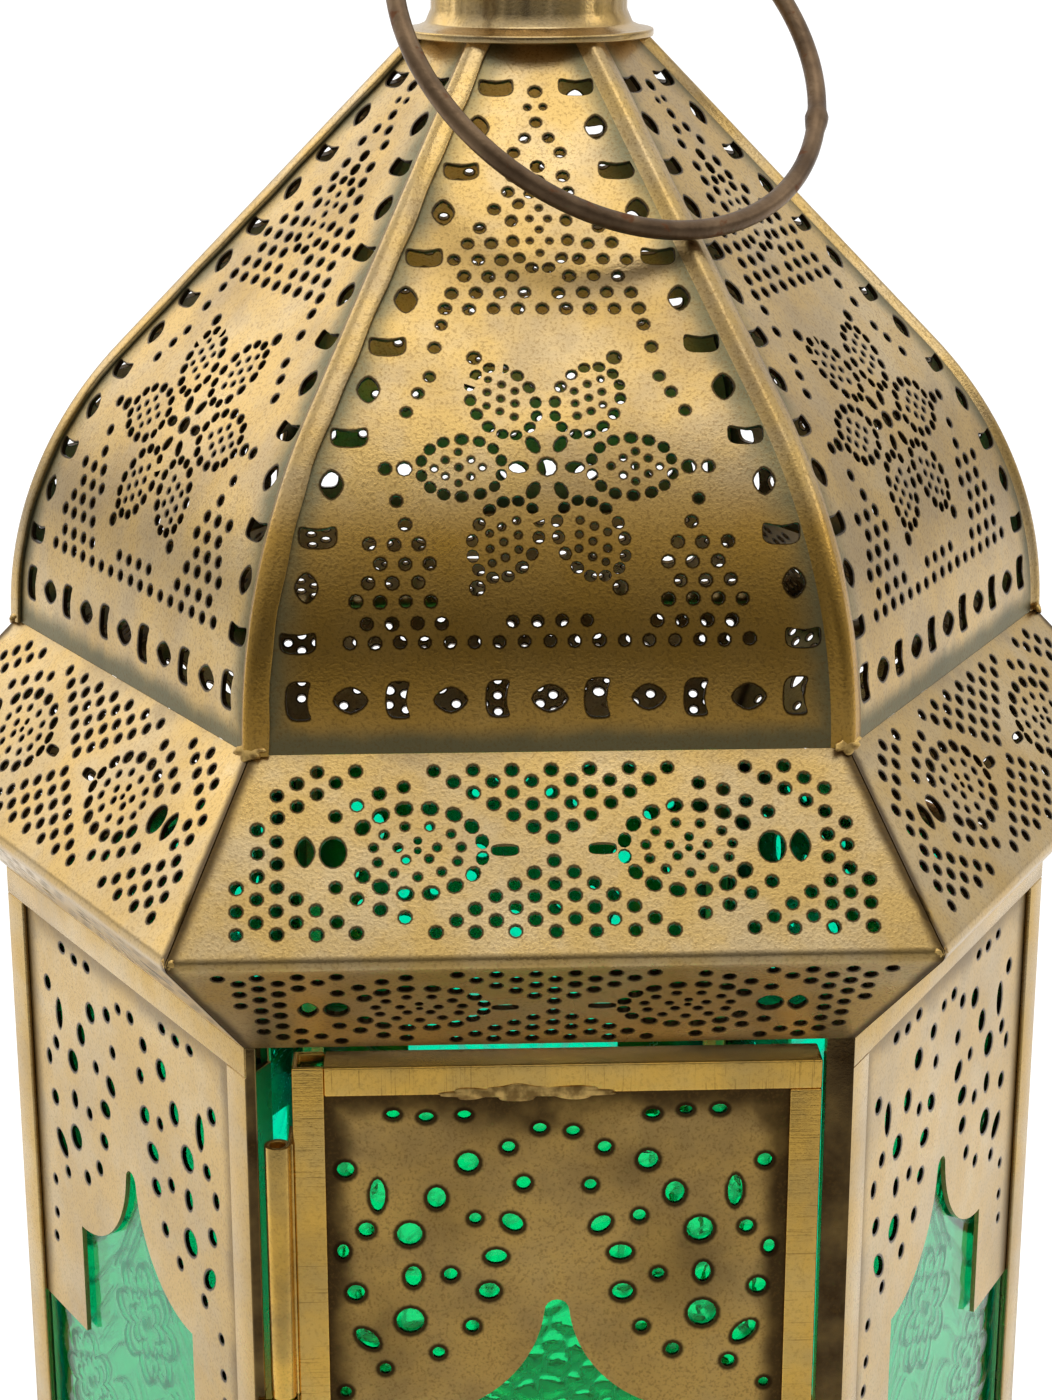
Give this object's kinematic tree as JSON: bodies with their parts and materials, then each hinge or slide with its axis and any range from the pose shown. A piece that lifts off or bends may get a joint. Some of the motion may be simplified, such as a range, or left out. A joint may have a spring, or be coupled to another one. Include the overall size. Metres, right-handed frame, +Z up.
{
  "type": "candle lantern",
  "caption": "Hexagonal pierced brass candle lantern with green glass walls, a hinged door, a domed top and a swinging ring handle.",
  "frame": {"origin": "on the floor under the middle of the lantern", "axes": "+Z up, -Y towards the door, +X to the right of the door"},
  "size_m": [0.1616, 0.14, 0.2523],
  "materials": {
    "antique_brass": "antiqued satin",
    "green_glass": "embossed, glossy",
    "ring_wire": "bronzed, lightly rusted"
  },
  "bodies": {
    "housing": {"candle_cup": "antique_brass", "cap": "antique_brass", "corner_post_1": "antique_brass", "corner_post_2": "antique_brass", "corner_post_3": "antique_brass", "corner_post_4": "antique_brass", "corner_post_5": "antique_brass", "corner_post_6": "antique_brass", "cornice_panel_1": "antique_brass", "cornice_panel_2": "antique_brass", "cornice_panel_3": "antique_brass", "cornice_panel_4": "antique_brass", "cornice_panel_5": "antique_brass", "cornice_panel_6": "antique_brass", "dome_panel_1": "antique_brass", "dome_panel_2": "antique_brass", "dome_panel_3": "antique_brass", "dome_panel_4": "antique_brass", "dome_panel_5": "antique_brass", "dome_panel_6": "antique_brass", "eye": "antique_brass", "fixed_hinge_leaf": "antique_brass", "floor_plate": "antique_brass", "foot_panel_1": "antique_brass", "foot_panel_2": "antique_brass", "foot_panel_3": "antique_brass", "foot_panel_4": "antique_brass", "foot_panel_5": "antique_brass", "foot_panel_6": "antique_brass", "hinge_pin": "antique_brass", "neck_collar": "antique_brass", "sill_ring": "antique_brass", "top_rim": "antique_brass", "turn_rivet": "antique_brass", "wall_glass_1": "green_glass", "wall_glass_2": "green_glass", "wall_glass_3": "green_glass", "wall_glass_4": "green_glass", "wall_glass_5": "green_glass", "wall_plate_1": "antique_brass", "wall_plate_2": "antique_brass", "wall_plate_3": "antique_brass", "wall_plate_4": "antique_brass", "wall_plate_5": "antique_brass"},
    "door": {"door_hinge_stile": "antique_brass", "door_latch_stile": "antique_brass", "door_top_rail": "antique_brass", "door_bottom_rail": "antique_brass", "door_plate": "antique_brass", "door_glass": "green_glass", "door_hinge_leaf": "antique_brass"},
    "ring_handle": {"ring_handle": "ring_wire"},
    "turn_button": {"turn_button": "antique_brass"}
  },
  "joints": [
    {"name": "door_hinge", "type": "hinge", "parent": "housing", "child": "door", "pos_m": [-0.0299, -0.0575, 0.07385], "axis": [0, 0, -1], "range_deg": [0, 110]},
    {"name": "ring_swing", "type": "hinge", "parent": "housing", "child": "ring_handle", "pos_m": [0, 0, 0.2483], "axis": [-0.866, -0.5, 0], "range_deg": [0, 277]},
    {"name": "button_turn", "type": "hinge", "parent": "housing", "child": "turn_button", "pos_m": [0.0317, -0.0582, 0.07385], "axis": [0, 1, 0], "continuous": true}
  ]
}
